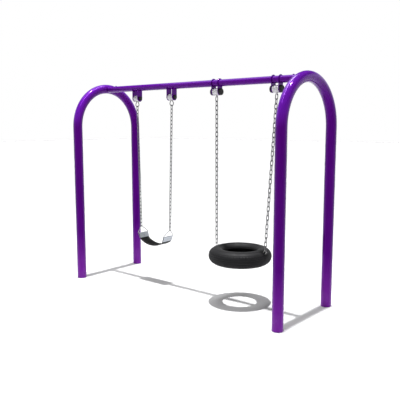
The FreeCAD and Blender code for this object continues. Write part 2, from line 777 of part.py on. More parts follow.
def build_hangers(kind, xs, pivot_z, plate, cap_diameter, cap_height):
    bolts = []
    nuts = []
    caps = []
    washers = []
    for (name, _), x in zip(SIDES, xs):
        save(kind + "_hanger_plates_" + name, *[plate(plate_x) for plate_x in plate_xs(x)])
        save(kind + "_bushes_" + name, *bushes(x, pivot_z))
        bolts.append(pivot_bolt(x, pivot_z))
        nuts.append(pivot_nut(x, pivot_z))
        caps += [bolt_cap(x, pivot_z, side, cap_diameter, cap_height) for _, side in SIDES]
        washers += thrust_washers(x, pivot_z)
    save(kind + "_pivot_bolts", *bolts)
    save(kind + "_pivot_nuts", *nuts)
    save(kind + "_bolt_caps", *caps)
    save(kind + "_thrust_washers", *washers)


def build_belt_swing():
    rivets = []
    drills = rivet_drills()
    for (name, side), x in zip(SIDES, BELT_HANGER_XS):
        save("belt_housing_" + name, housing(x, BELT_PIVOT_Z, BELT_HOUSING_D))
        save("belt_ring_" + name, pear_ring(x))
        links = chain(ring_bottom(x), triangle_top(side), BELT_CHAIN_WIRE, BELT_CHAIN_WIDTH,
                      BELT_CHAIN_PITCH, RING_WIRE, TRIANGLE_WIRE, False)
        save("belt_chain_" + name, *links)
        save("seat_triangle_" + name, triangle(side))
        save("seat_clamp_" + name, drilled(clamp(side), drills))
        rivets += [rivet(seat, side) for seat in rivet_seats(side)]
    insert = seat_strip(INSERT_THICK, INSERT_WIDTH, INSERT_FROM_BAR)
    belt = seat_strip(BELT_THICK, BELT_WIDTH, BELT_FROM_BAR).cut(insert)
    save("belt_insert", drilled(insert, drills))
    save("belt_seat", drilled(belt, drills))
    save("seat_rivets", *rivets)


def build_tyre_swing():
    for (name, side), x in zip(SIDES, TYRE_HANGER_XS):
        save("tire_housing_" + name, housing(x, TYRE_PIVOT_Z, TYRE_HOUSING_D).fuse(lug(x)).removeSplitter())
        links = chain(lug_bearing(x), bow_top(side), TYRE_CHAIN_WIRE, TYRE_CHAIN_WIDTH,
                      TYRE_CHAIN_PITCH, 0.0, UBOLT_WIRE, True)
        save("tire_chain_" + name, *links)
        save("tire_u_bolt_" + name, ubolt(side))
        save("tire_backing_plate_" + name, backing_plate(side))
        save("tire_u_bolt_nuts_" + name, *ubolt_nuts(side))
    save("tire", tyre())


os.makedirs("parts", exist_ok=True)
build_frame()
build_hangers("belt", BELT_HANGER_XS, BELT_PIVOT_Z, belt_plate, BELT_CAP_D, BELT_CAP_H)
build_hangers("tire", TYRE_HANGER_XS, TYRE_PIVOT_Z, tyre_plate, TYRE_CAP_D, TYRE_CAP_H)
build_belt_swing()
build_tyre_swing()
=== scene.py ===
# %% [markdown]
# # A swing frame with a belt swing and a tyre swing
#
# The imported CAD model is the fixed frame of this lesson. Every steel part keeps its CAD shape and gets
# a finish, and the rubber parts, which need grooves, ribs and rounded lips, are modelled here.
# The first cell loads the CAD model, and part_box reads the box of any part.

# %% Load the frame
import math

import bmesh
import bpy
from mathutils import Matrix, Vector


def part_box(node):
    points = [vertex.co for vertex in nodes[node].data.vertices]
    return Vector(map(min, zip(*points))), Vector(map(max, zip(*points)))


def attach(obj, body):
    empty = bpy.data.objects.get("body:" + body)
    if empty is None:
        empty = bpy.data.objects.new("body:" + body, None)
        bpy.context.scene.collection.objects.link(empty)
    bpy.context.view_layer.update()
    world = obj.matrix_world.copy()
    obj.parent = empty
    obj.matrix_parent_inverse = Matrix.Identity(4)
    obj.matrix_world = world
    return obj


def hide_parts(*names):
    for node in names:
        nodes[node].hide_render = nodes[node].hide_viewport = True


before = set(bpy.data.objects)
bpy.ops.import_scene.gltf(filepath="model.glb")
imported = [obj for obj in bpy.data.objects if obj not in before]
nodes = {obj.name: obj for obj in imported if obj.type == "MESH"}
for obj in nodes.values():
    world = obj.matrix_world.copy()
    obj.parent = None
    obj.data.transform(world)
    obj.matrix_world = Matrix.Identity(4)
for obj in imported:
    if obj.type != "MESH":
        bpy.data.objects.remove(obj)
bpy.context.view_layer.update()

# %% [markdown]
# ## Camera
#
# The view is from in front of the tyre end: 40 degrees round from the front, at the height of a raised
# hand, and tilted down slightly. A 50 mm lens on a 36 mm sensor keeps the arches' legs nearly parallel.

# %% Camera
CAMERA_PLACE = (4.2379, -4.9167, 1.9622)
CAMERA_ROUND = 40.06
CAMERA_DOWN = 7.61
camera_data = bpy.data.cameras.new("camera")
camera_data.lens = 50.0
camera_data.sensor_width = 36.0
camera = bpy.data.objects.new("camera", camera_data)
bpy.context.scene.collection.objects.link(camera)
camera.location = CAMERA_PLACE
camera.rotation_euler = (math.radians(90 - CAMERA_DOWN), 0, math.radians(CAMERA_ROUND))
bpy.context.scene.camera = camera
print("camera at", CAMERA_PLACE)

# %% [markdown]
# ## Floor and light
#
# The floor is plain and nearly white. One distant lamp straight overhead draws the clear shadows of the
# beam, the arches and the tyre on it. Gloss paint shows what it reflects, so the rest of the light is
# chosen for its reflection: a wide soft panel and a narrow strip overhead give the bends a streak, and the
# surroundings are white near the horizon, which gives the tubes pale rims, and nearly black above.

# %% A floor with a bare finish
FLOOR_HALF = 60.0
bpy.ops.object.select_all(action="DESELECT")
bpy.ops.mesh.primitive_plane_add(size=2 * FLOOR_HALF, location=(0, 0, 0))
floor = bpy.context.object
floor.name = "floor"
print("floor", floor.name)

# %% Lamps and surroundings
SUN_STRENGTH = 4.6
SUN_WIDTH = 1.5
WHITE_UP_TO = 0.28
DARK_FROM = 0.5


def panel(name, place, aim, width, height, watts):
    """A soft rectangular lamp that faces a point."""
    data = bpy.data.lights.new(name, "AREA")
    data.shape = "RECTANGLE"
    data.size = width
    data.size_y = height
    data.energy = watts
    lamp = bpy.data.objects.new(name, data)
    bpy.context.scene.collection.objects.link(lamp)
    lamp.location = place
    lamp.rotation_euler = (Vector(aim) - Vector(place)).to_track_quat("-Z", "Y").to_euler()
    return lamp


sun_data = bpy.data.lights.new("overhead_sun", "SUN")
sun_data.energy = SUN_STRENGTH
sun_data.angle = math.radians(SUN_WIDTH)
sun = bpy.data.objects.new("overhead_sun", sun_data)
bpy.context.scene.collection.objects.link(sun)
sun.rotation_euler = (0, 0, 0)
panel("overhead_panel", (-1.8, 0, 6.4), (-1.8, 0, 0), 5.0, 5.0, 120)
panel("overhead_strip", (-0.6, -0.9, 6.3), (-0.6, -0.9, 0), 0.45, 6.2, 190)
world = bpy.data.worlds.new("studio")
bpy.context.scene.world = world
world.use_nodes = True
sky = world.node_tree
direction = sky.nodes.new("ShaderNodeTexCoord").outputs["Generated"]
split = sky.nodes.new("ShaderNodeSeparateXYZ")
sky.links.new(direction, split.inputs[0])
ramp = sky.nodes.new("ShaderNodeValToRGB")
sky.links.new(split.outputs[2], ramp.inputs[0])
ramp.color_ramp.elements[0].position = WHITE_UP_TO
ramp.color_ramp.elements[0].color = (1.0, 1.0, 1.0, 1)
ramp.color_ramp.elements[1].position = DARK_FROM
ramp.color_ramp.elements[1].color = (0.05, 0.05, 0.052, 1)
sky.links.new(ramp.outputs[0], sky.nodes["Background"].inputs["Color"])
bpy.context.scene.view_settings.view_transform = "Standard"

# %% [markdown]
# ## Shader sums written as sums
#
# A finish is a small calculation: how much dust, how much wear, how bright. Wrapping a socket in a class
# with the usual operators lets each finish be written as plain arithmetic, and each operator adds one
# Math node. Every other node comes from one method, which sets the node up and then feeds its inputs.

# %% Shader helper
class Level:
    """A number on a shader graph that can be added, multiplied and compared."""

    def __init__(self, finish, socket):
        self.finish = finish
        self.socket = socket

    def join(self, operation, first, second=0.0, clamp=False):
        settings = {"operation": operation, "use_clamp": clamp}
        made = self.finish.node("ShaderNodeMath", settings, {0: first, 1: second})
        return Level(self.finish, made.outputs[0])

    def __add__(self, other):
        return self.join("ADD", self, other)

    __radd__ = __add__

    def __sub__(self, other):
        return self.join("SUBTRACT", self, other)

    def __rsub__(self, other):
        return self.join("SUBTRACT", other, self)

    def __mul__(self, other):
        return self.join("MULTIPLY", self, other)

    __rmul__ = __mul__

    def __truediv__(self, other):
        return self.join("DIVIDE", self, other)

    def clamped(self):
        return self.join("ADD", self, 0.0, clamp=True)

    def above(self, edge, width):
        """0 below the edge, 1 a width above it, with a straight ramp between."""
        return ((self - edge) / width).clamped()


class Finish:
    """One material and the nodes in it."""

    def __init__(self, name):
        self.material = bpy.data.materials.new(name)
        self.material.use_nodes = True
        self.tree = self.material.node_tree
        self.shader = self.tree.nodes["Principled BSDF"]

    def feed(self, socket, value):
        """Join a level, a socket or a plain value to an input."""
        if isinstance(value, Level):
            self.tree.links.new(value.socket, socket)
        elif isinstance(value, bpy.types.NodeSocket):
            self.tree.links.new(value, socket)
        else:
            socket.default_value = value

    def node(self, kind, settings, inputs):
        """A new node with its settings made and its inputs fed."""
        made = self.tree.nodes.new(kind)
        for key, value in settings.items():
            setattr(made, key, value)
        for key, value in inputs.items():
            self.feed(made.inputs[key], value)
        return made

    def place(self):
        return self.node("ShaderNodeTexCoord", {}, {}).outputs["Object"]

    def noise(self, scale, detail=4.0, roughness=0.5, vector=None):
        inputs = {"Vector": vector or self.place(), "Scale": scale}
        inputs.update({"Detail": detail, "Roughness": roughness})
        return Level(self, self.node("ShaderNodeTexNoise", {}, inputs).outputs[0])

    def cells(self, scale):
        return self.node("ShaderNodeTexVoronoi", {}, {"Vector": self.place(), "Scale": scale})

    def blend(self, share, first, second):
        """Colour that goes from the first to the second as the share goes from 0 to 1."""
        inputs = {0: share, 6: (*first, 1) if isinstance(first, tuple) else first}
        inputs[7] = (*second, 1) if isinstance(second, tuple) else second
        return self.node("ShaderNodeMix", {"data_type": "RGBA"}, inputs).outputs[2]

    def bump(self, height, strength, distance):
        inputs = {"Height": height, "Strength": strength, "Distance": distance}
        return self.node("ShaderNodeBump", {}, inputs).outputs[0]

    def set(self, **values):
        """Shader inputs by name; an underscore stands for a space."""
        for key, value in values.items():
            if isinstance(value, tuple) and len(value) == 3:
                value = (*value, 1)
            self.feed(self.shader.inputs[key.replace("_", " ")], value)


def wear(node_names, finish):
    """Give CAD nodes a finish."""
    for name in node_names:
        nodes[name].data.materials.clear()
        nodes[name].data.materials.append(finish.material)


print("shader helper ready")

# %% [markdown]
# ## Powder coat
#
# The tubes and plates are sprayed with a violet powder that is baked to a thick gloss film. Such a film is
# never quite level: it has a fine ripple called orange peel. The colour is even, with a slight drift
# where the film is thinner. Towards the ground, where grass and dust touch it, dust specks make it paler
# and duller, and the colour is also painted paler there: a painted reflection of the pale floor. The outer
# side of the bends and the top of the beam, which lie the furthest from the middle of the arches' bends,
# are painted lighter and bluer: a painted highlight, standing in for the reflection of a bright sky.

# %% Powder coat
coat = Finish("violet_powder_coat")
arch_low, arch_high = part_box("arch_left")
TUBE_R = (arch_high[0] - arch_low[0]) / 2
ARCH_BEND_R = arch_high[1] - TUBE_R
ARCH_BEND_Z = arch_high[2] - arch_high[1]


def vector_sum(finish, operation, first, second, output):
    """One step of vector arithmetic."""
    made = finish.node("ShaderNodeVectorMath", {"operation": operation}, {0: first, 1: second})
    return made.outputs[output]


peel = coat.noise(140.0, 2.0, 0.4)
drift = coat.noise(1.6, 2.0, 0.5)
height = Level(coat, coat.node("ShaderNodeSeparateXYZ", {}, {0: coat.place()}).outputs[2])
from_bend = vector_sum(coat, "SUBTRACT", coat.place(), (0, 0, ARCH_BEND_Z), 0)
in_plane = vector_sum(coat, "MULTIPLY", from_bend, (0, 1, 1), 0)
reach = Level(coat, vector_sum(coat, "LENGTH", in_plane, (0, 0, 0), 1))
# Painted highlight: the outer side of the bends and the top of the beam are made lighter and bluer,
# standing in for the reflection of a bright sky.
outer_side = reach.above(ARCH_BEND_R - 0.3 * TUBE_R, TUBE_R)
painted_sky_highlight = outer_side * height.above(ARCH_BEND_Z, 0.15)
ground_dust = (1.0 - height.above(0.0, 0.35)) * coat.noise(9.0, 4.0, 0.5).above(0.42, 0.3)
new_film = coat.blend(drift.above(0.35, 0.3), (0.050, 0.0004, 0.112), (0.060, 0.0005, 0.135))
# Painted reflection: the paint is made paler towards the ground, standing in for the reflection of the pale
# floor.
painted_floor_reflection = 1.0 - height.above(0.10, 0.50)
film_with_floor_reflection = coat.blend(painted_floor_reflection * 0.75, new_film, (0.185, 0.026, 0.300))
# The painted highlight is blended into the colour here.
film = coat.blend(painted_sky_highlight * 0.8, film_with_floor_reflection, (0.105, 0.009, 0.300))
coat.set(
    Base_Color=coat.blend(ground_dust * 0.14, film, (0.20, 0.17, 0.21)),
    Roughness=0.09 + 0.05 * drift + ground_dust * 0.3,
    IOR=1.6,
    Specular_Tint=(0.45, 0.04, 1.0),
    Normal=coat.bump(peel, 0.012, 0.002),
)
PAINTED = ["arch_left", "arch_right", "beam", "beam_bolts"]
PAINTED += [name for name in nodes if "hanger_plates" in name or "spigot" in name]
wear(PAINTED, coat)
print("painted:", len(PAINTED))

# %% [markdown]
# ## Zinc
#
# Chain, rings and triangles are hot-dip galvanised: zinc freezes on the steel in crystals a few
# millimetres wide, some duller than others, and goes a soft grey outdoors. Fasteners are
# electroplated, which is thinner, smoother and brighter. Both are the same recipe with other numbers.

# %% Zinc finishes
def zinc(name, colour, dull, crystal, gloss, contrast):
    finish = Finish(name)
    spangle = Level(finish, finish.cells(crystal).outputs["Color"])
    grime = finish.noise(90.0, 5.0, 0.6)
    tone = (spangle * contrast + grime * 0.5).clamped()
    finish.set(
        Base_Color=finish.blend(tone, dull, colour),
        Metallic=0.85,
        Roughness=gloss + 0.18 * grime + 0.08 * spangle,
        Normal=finish.bump(grime, 0.12, 0.0004),
    )
    return finish


dip = zinc("hot_dip_zinc", (0.22, 0.22, 0.225), (0.11, 0.11, 0.115), 380.0, 0.34, 0.6)
plate = zinc("bright_zinc", (0.55, 0.55, 0.53), (0.35, 0.35, 0.34), 900.0, 0.16, 0.3)
clamp_zinc = zinc("clamp_zinc", (0.52, 0.55, 0.60), (0.36, 0.385, 0.42), 300.0, 0.26, 0.5)
wear([n for n in nodes if "chain" in n or "ring" in n or "triangle" in n], dip)
wear([n for n in nodes if "weld_nuts" in n or "pivot" in n or "u_bolt" in n or "backing" in n], plate)
wear(["seat_rivets", "belt_insert"], plate)
wear([n for n in nodes if "clamp" in n], clamp_zinc)
print("zinc finishes:", dip.material.name, plate.material.name, clamp_zinc.material.name)

# %% [markdown]
# ## Bearing parts
#
# The housings are turned aluminium with a faint lathe grain that runs round them. The bushes are
# bronze, the thrust washers are natural nylon, and the bolt covers are moulded black plastic.

# %% Bearing finishes
lathe = Finish("turned_aluminium")
stretched = lathe.node("ShaderNodeMapping", {}, {"Vector": lathe.place(), "Scale": (1, 0.02, 0.02)})
grain = lathe.noise(900.0, 3.0, 0.6, stretched.outputs[0])
cloud = lathe.noise(25.0, 4.0, 0.5)
lathe.set(
    Base_Color=lathe.blend(cloud, (0.42, 0.41, 0.43), (0.58, 0.57, 0.60)),
    Metallic=0.6,
    Roughness=0.34 + 0.16 * grain,
    Normal=lathe.bump(grain, 0.15, 0.0003),
)
wear([n for n in nodes if "housing" in n], lathe)

bronze = Finish("bush_bronze")
stain = bronze.noise(60.0, 4.0, 0.6)
bronze.set(
    Base_Color=bronze.blend(stain, (0.34, 0.20, 0.08), (0.50, 0.33, 0.14)),
    Metallic=0.9,
    Roughness=0.3 + 0.25 * stain,
)
wear([n for n in nodes if "bushes" in n], bronze)

nylon = Finish("natural_nylon")
milk = nylon.noise(40.0, 3.0, 0.5)
nylon.set(
    Base_Color=nylon.blend(milk, (0.66, 0.65, 0.60), (0.76, 0.75, 0.71)),
    Roughness=0.42 + 0.1 * milk,
)
wear([n for n in nodes if "washers" in n], nylon)

cover = Finish("moulded_black_plastic")
pebble = cover.noise(1400.0, 2.0, 0.5)
scuff = cover.noise(55.0, 6.0, 0.65).above(0.55, 0.2)
cover.set(
    Base_Color=cover.blend(scuff * 0.5, (0.006, 0.006, 0.007), (0.025, 0.025, 0.026)),
    Roughness=0.36 + 0.15 * scuff,
    Specular_IOR_Level=0.2,
    Normal=cover.bump(pebble, 0.2, 0.0002),
)
wear([n for n in nodes if "caps" in n], cover)
print("bearing finishes ready")

# %% [markdown]
# ## Rubber
#
# Tyre rubber is near black, slightly brown, and dulls to grey where dust settles in its pores. The belt
# is a moulded strip of the same kind, smoother.

# %% Rubber finishes
def rubber(name, dark, dusty, pore, gloss):
    finish = Finish(name)
    pores = finish.noise(pore, 3.0, 0.6)
    dust = finish.noise(18.0, 6.0, 0.65).above(0.45, 0.35)
    finish.set(
        Base_Color=finish.blend(dust * 0.6, dark, dusty),
        Roughness=gloss + 0.2 * dust,
        Specular_IOR_Level=0.2,
        Normal=finish.bump(pores, 0.25, 0.0005),
    )
    return finish


tyre_rubber = rubber("tyre_rubber", (0.008, 0.008, 0.009), (0.016, 0.016, 0.018), 420.0, 0.58)
belt_rubber = rubber("belt_rubber", (0.008, 0.008, 0.008), (0.018, 0.019, 0.018), 600.0, 0.55)
print("rubber finishes ready")

# %% Floor finish
paving = Finish("pale_floor")
fleck = paving.noise(3.0, 5.0, 0.6)
paving.set(Base_Color=paving.blend(fleck, (0.61, 0.61, 0.615), (0.63, 0.63, 0.635)), Roughness=0.85)
floor.data.materials.append(paving.material)
print("floor finish ready")

# %% [markdown]
# ## Modelling helpers
#
# Every new piece starts as a primitive and is shaped by edit-mode operators. Operators act on whatever is
# selected, so one helper starts a piece with nothing else selected, and another selects faces, edges or
# vertices by a test on where they are. The last two make a flat strip with rounded long edges, and then do
# what a press or a hanging load does to it: they lay it along a line, each point keeping its distance
# along the strip and from its middle.

# %% Helpers
SAME_POINT = 0.00002
LONG_EDGE = 0.1
ROW_EDGE = 0.001


def begin(operator, name, **settings):
    """Add a primitive with nothing else selected."""
    bpy.ops.object.select_all(action="DESELECT")
    operator(**settings)
    piece = bpy.context.object
    piece.name = name
    return piece


def open_edit(piece):
    bpy.ops.object.select_all(action="DESELECT")
    piece.select_set(True)
    bpy.context.view_layer.objects.active = piece
    bpy.ops.object.mode_set(mode="EDIT")
    bpy.ops.mesh.select_all(action="DESELECT")


def pick(piece, kind, test):
    """In edit mode, select the faces, edges or vertices that pass a test, and count them."""
    bpy.ops.mesh.select_mode(type=kind)
    bpy.ops.mesh.select_all(action="DESELECT")
    mesh = bmesh.from_edit_mesh(piece.data)
    mesh.normal_update()
    items = {"VERT": mesh.verts, "EDGE": mesh.edges, "FACE": mesh.faces}[kind]
    chosen = [item for item in items if test(item)]
    for item in chosen:
        item.select_set(True)
    mesh.select_flush_mode()
    bmesh.update_edit_mesh(piece.data)
    return len(chosen)


def middle(item):
    """Middle point of an edge or a face."""
    points = [vertex.co for vertex in item.verts]
    return sum(points, Vector()) / len(points)


def close_edit(piece, smooth=30.0):
    """Merge doubles, point the faces outwards, leave edit mode and shade."""
    bpy.ops.mesh.select_all(action="SELECT")
    bpy.ops.mesh.remove_doubles(threshold=SAME_POINT)
    bpy.ops.mesh.normals_make_consistent(inside=False)
    bpy.ops.object.mode_set(mode="OBJECT")
    bpy.ops.object.transform_apply(location=True, rotation=True, scale=True)
    bpy.ops.object.shade_smooth_by_angle(angle=math.radians(smooth))


def belongs(piece, body, slot, finish, *replaced):
    """Say where a finished piece belongs and give it its finish."""
    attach(piece, body)
    if replaced:
        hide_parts(*replaced)
    piece.data.materials.clear()
    piece.data.materials.append(finish.material)
    print(piece.name, len(piece.data.polygons), "faces")


def copy_of(piece, name, move=(0, 0, 0)):
    """A copy with its own mesh, moved in its mesh."""
    other = piece.copy()
    other.data = piece.data.copy()
    other.name = name
    other.data.transform(Matrix.Translation(move))
    bpy.context.scene.collection.objects.link(other)
    return other


def longer_in_x(least):
    """A test for edges that run along X by more than a length."""
    return lambda edge: abs(edge.verts[0].co.x - edge.verts[1].co.x) > least


def flat_strip(name, length, width, thick, lip, lip_steps, rows):
    """A flat strip along X from 0, left in edit mode, cut into an even number of rows.

    The cuts are made in two goes, because one Subdivide makes no more than about a hundred.
    """
    strip = begin(bpy.ops.mesh.primitive_cube_add, name, size=1)
    for vertex in strip.data.vertices:
        vertex.co.x = (vertex.co.x + 0.5) * length
        vertex.co.y *= width
        vertex.co.z *= thick
    open_edit(strip)
    pick(strip, "EDGE", longer_in_x(LONG_EDGE))
    bpy.ops.mesh.bevel(offset=lip, segments=lip_steps)
    pick(strip, "EDGE", longer_in_x(LONG_EDGE))
    bpy.ops.mesh.subdivide(number_cuts=rows // 2 - 1)
    pick(strip, "EDGE", longer_in_x(ROW_EDGE))
    bpy.ops.mesh.subdivide(number_cuts=1)
    return strip


def lay_along(piece, line):
    """Lay a flat strip, which runs along X from 0, along a line in the XZ plane.

    The line is a function from a distance to a point and the upward direction square to the line.
    """
    for vertex in piece.data.vertices:
        point, up = line(vertex.co.x)
        along_y = vertex.co.y
        vertex.co = point + up * vertex.co.z
        vertex.co.y = along_y
    piece.data.update()


print("helpers ready")

# %% [markdown]
# ## The tyre
#
# A used car tyre hangs flat from two chains. Its section is turned round its axis: a circle of vertices
# is laid on the section's outline, and Spin carries that outline once round. The outline runs over the
# rounded crown with its circumferential grooves, down both sidewalls with their fine moulded rings, round
# the thick beads, and back along the inside, because the tyre is open and its hollow shows.
# The outer line is the CAD section, and every groove is cut inwards from it, so the tyre keeps its size.

# %% Tyre section
low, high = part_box("tire")
TYRE_MIDDLE = (low + high) / 2
TYRE_R = (high[0] - low[0]) / 2
TYRE_HALF = (high[2] - low[2]) / 2
BEAD_R = 0.1905
BEAD_HALF = 0.055
WALL = 0.009
WIDEST_SHARE = 0.62
CREST = WIDEST_SHARE * (TYRE_R - BEAD_R)
WIDEST_R = TYRE_R - CREST
INWARD = (WIDEST_R - BEAD_R) / math.sqrt(1 - (BEAD_HALF / TYRE_HALF) ** 2)


def tyre_point(turn, inset):
    """Radius and height of the section, at an angle from the crown and a depth below the surface."""
    turn = math.radians(turn)
    reach = CREST if math.cos(turn) > 0 else INWARD
    radius = WIDEST_R + (reach - inset) * math.cos(turn)
    return radius, (TYRE_HALF - inset) * math.sin(turn)


def bead_turn(inset):
    """Angle, in degrees, at which the section reaches the bead."""
    return math.degrees(math.acos(-(WIDEST_R - BEAD_R) / (INWARD - inset)))


GROOVE_DEPTH = 0.004
RING_DEPTH = 0.0012
STEP_DEPTH = 0.0015
BEAD_ROUND = 0.0004
GROOVES = (6.5, 19.5)
RINGS = (66, 70, 104, 108, 128)
PLAIN = (0, 24.5, 30, 35.5, 45, 50, 55, 60, 76, 82, 88, 94, 99, 114, 120, 134)


def channel(turn, half_mouth, half_floor, depth):
    """Four points of a channel round the tyre: angle in degrees and depth."""
    return [
        (turn - half_mouth, 0), (turn - half_floor, depth),
        (turn + half_floor, depth), (turn + half_mouth, 0),
    ]


half_outline = [(turn, 0) for turn in PLAIN]
for turn in GROOVES:
    half_outline += channel(turn, 1.6, 1.1, GROOVE_DEPTH)
half_outline += [(37.0, STEP_DEPTH), (39.0, STEP_DEPTH), (40.5, 0)]
for turn in RINGS:
    half_outline += channel(turn, 1.2, 0.7, RING_DEPTH)
half_outline.sort()
end = bead_turn(0)
half_outline += [(end - 3.0, 0), (end - 0.6, BEAD_ROUND)]
outer = [tyre_point(-turn, depth) for turn, depth in reversed(half_outline[1:])]
outer += [tyre_point(turn, depth) for turn, depth in half_outline]
inner_end = bead_turn(WALL)
INNER_STEPS = 30
inner = [
    tyre_point(inner_end - 2 * inner_end * step / INNER_STEPS, WALL) for step in range(INNER_STEPS + 1)
]
bead_low = [(BEAD_R, -BEAD_HALF + 0.003), (BEAD_R, -BEAD_HALF + 0.010)]
bead_high = [(radius, -height) for radius, height in reversed(bead_low)]
outline = bead_low[::-1] + outer + bead_high[::-1] + inner
print("section points:", len(outline), "bead at", round(end, 1), "degrees")

# %% Spin the tyre
SPIN_STEPS = 128
tyre = begin(
    bpy.ops.mesh.primitive_circle_add, "tyre", vertices=len(outline), radius=TYRE_HALF,
    location=(0, 0, 0), rotation=(0, 0, 0),
)
for vertex, (radius, height) in zip(tyre.data.vertices, outline):
    vertex.co = (TYRE_MIDDLE.x + radius, 0, TYRE_MIDDLE.z + height)
open_edit(tyre)
bpy.ops.mesh.select_all(action="SELECT")
bpy.ops.mesh.spin(
    steps=SPIN_STEPS, angle=2 * math.pi, center=(TYRE_MIDDLE.x, 0, TYRE_MIDDLE.z), axis=(0, 0, 1),
)
bpy.ops.mesh.select_all(action="SELECT")
bpy.ops.mesh.remove_doubles(threshold=SAME_POINT)
bpy.ops.mesh.normals_make_consistent(inside=False)
print("spun faces:", len(bmesh.from_edit_mesh(tyre.data).faces))

# %% [markdown]
# ### Shoulder notches
#
# A tread's shoulder has short cross slots that let water out. Every second face of the shoulder bands is
# inset on its own and sunk, which gives a row of slots with sloping sides.

# %% Notches
NOTCH_EDGE = 0.0012
NOTCH_DEPTH = 0.0028
SHOULDER = (24.0, 35.6)
OUTER_BAND = 0.06


def from_axis(point):
    """Radius, height and step number round the tyre's axis."""
    x = point.x - TYRE_MIDDLE.x
    step = math.atan2(point.y, x) / (2 * math.pi) * SPIN_STEPS
    return math.hypot(x, point.y), point.z - TYRE_MIDDLE.z, math.floor(step)


def on_shoulder(face):
    radius, height, step = from_axis(middle(face))
    turn = math.degrees(math.atan2(abs(height) / TYRE_HALF, (radius - WIDEST_R) / CREST))
    outside = face.normal.dot(Vector((middle(face).x - TYRE_MIDDLE.x, middle(face).y, 0))) > 0
    on_band = SHOULDER[0] < turn < SHOULDER[1] and radius > WIDEST_R + OUTER_BAND
    return outside and on_band and step % 2 == 0


slots = pick(tyre, "FACE", on_shoulder)
bpy.ops.mesh.inset(thickness=NOTCH_EDGE, depth=-NOTCH_DEPTH, use_individual=True)
close_edit(tyre, 40)
print("slots:", slots)

# %% [markdown]
# ### Bolt holes
#
# Two U-bolts carry the tyre. Their legs go square through the upper shoulder, so the rubber is drilled with
# four holes, a hair wider than the bolts. A Boolean modifier subtracts four rods and is then applied.

# %% Drill the tyre
UBOLT_DEGREES = 48
UBOLT_TURN = math.radians(UBOLT_DEGREES)
UBOLT_HALF_SPAN = 0.014
HOLE_R = 0.00415
DRILL_LENGTH = 0.03
foot_radius, foot_height = tyre_point(UBOLT_DEGREES, 0)
rods = []
for side in (-1, 1):
    outward = Vector((side * math.cos(UBOLT_TURN) / CREST, 0, math.sin(UBOLT_TURN) / TYRE_HALF))
    outward.normalize()
    across = Vector((0, 1, 0)).cross(outward)
    foot = TYRE_MIDDLE + Vector((side * foot_radius, 0, foot_height))
    for way in (-1, 1):
        place = foot + across * (way * UBOLT_HALF_SPAN) - outward * (WALL / 2)
        turn = outward.to_track_quat("Z", "Y").to_euler()
        rods.append(begin(
            bpy.ops.mesh.primitive_cylinder_add, "drill", vertices=24, radius=HOLE_R, depth=DRILL_LENGTH,
            location=place, rotation=turn,
        ))
bpy.ops.object.select_all(action="DESELECT")
for rod in rods:
    rod.select_set(True)
bpy.context.view_layer.objects.active = rods[0]
bpy.ops.object.join()
bpy.ops.object.transform_apply(location=True, rotation=True, scale=True)
drill = bpy.context.object
bpy.ops.object.select_all(action="DESELECT")
tyre.select_set(True)
bpy.context.view_layer.objects.active = tyre
cut = tyre.modifiers.new("holes", "BOOLEAN")
cut.operation = "DIFFERENCE"
cut.solver = "EXACT"
cut.object = drill
bpy.ops.object.modifier_apply(modifier=cut.name)
bpy.data.objects.remove(drill)
bpy.ops.object.shade_smooth_by_angle(angle=math.radians(40))
wear(["tire"], tyre_rubber)
belongs(tyre, "tire", "tyre_rubber", tyre_rubber, "tire")

# %% [markdown]
# ## The belt seat
#
# The belt is moulded flat, with cross ribs on top for grip and rounded lips along its edges, and it hangs
# in a curve between its clamps. So it is modelled flat first, where ribs are a simple row of faces, and
# then laid along the seat line: straight inside a clamp, a tight bend below it, and one wide sag.

# %% Seat line
SEAT_X = (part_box("seat_clamp_left")[0][0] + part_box("seat_clamp_right")[1][0]) / 2
SEAT_LEAN = math.radians(21.5)
BELT_THICK = 0.010
BELT_WIDTH = 0.150
BELT_FROM_BAR = 0.007
CLAMP_LENGTH = 0.060
BEND_R = 0.045
CHAIN_SPAN = 0.505
CHAIN_FOOT_Z = 0.687
BELT_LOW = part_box("belt_seat")[0][2] + BELT_THICK / 2
TRIANGLE_TOP = Vector((SEAT_X + CHAIN_SPAN / 2, 0, CHAIN_FOOT_Z))
TRIANGLE_HEIGHT = 0.093
down = Vector((-math.sin(SEAT_LEAN), 0, -math.cos(SEAT_LEAN)))
out = Vector((math.cos(SEAT_LEAN), 0, -math.sin(SEAT_LEAN)))
bar = TRIANGLE_TOP + down * TRIANGLE_HEIGHT
bend_middle = bar + down * CLAMP_LENGTH - out * BEND_R
rise = bend_middle.z - BELT_LOW
run = bend_middle.x - SEAT_X
SAG_R = (run ** 2 + rise ** 2 - BEND_R ** 2) / (2 * (rise - BEND_R))
sag_middle = Vector((SEAT_X, 0, BELT_LOW + SAG_R))
heading = (bend_middle - sag_middle).normalized()
SAG_TURN = math.atan2(heading.x, -heading.z)
BEND_TURN = math.acos(max(-1.0, min(1.0, heading.dot(out))))
STRAIGHT = CLAMP_LENGTH - BELT_FROM_BAR
HALF_BELT = STRAIGHT + BEND_R * BEND_TURN + SAG_R * SAG_TURN


def half_line(distance):
    """Point and upward direction on the +X half, at a distance from the seat's lowest point."""
    if distance <= SAG_R * SAG_TURN:
        turn = distance / SAG_R
        outward = Vector((math.sin(turn), 0, -math.cos(turn)))
        return sag_middle + outward * SAG_R, -outward
    distance -= SAG_R * SAG_TURN
    if distance <= BEND_R * BEND_TURN:
        turn = SAG_TURN + distance / BEND_R
        outward = Vector((math.sin(turn), 0, -math.cos(turn)))
        return bend_middle + outward * BEND_R, -outward
    distance -= BEND_R * BEND_TURN
    return bar + down * (CLAMP_LENGTH - distance), -out


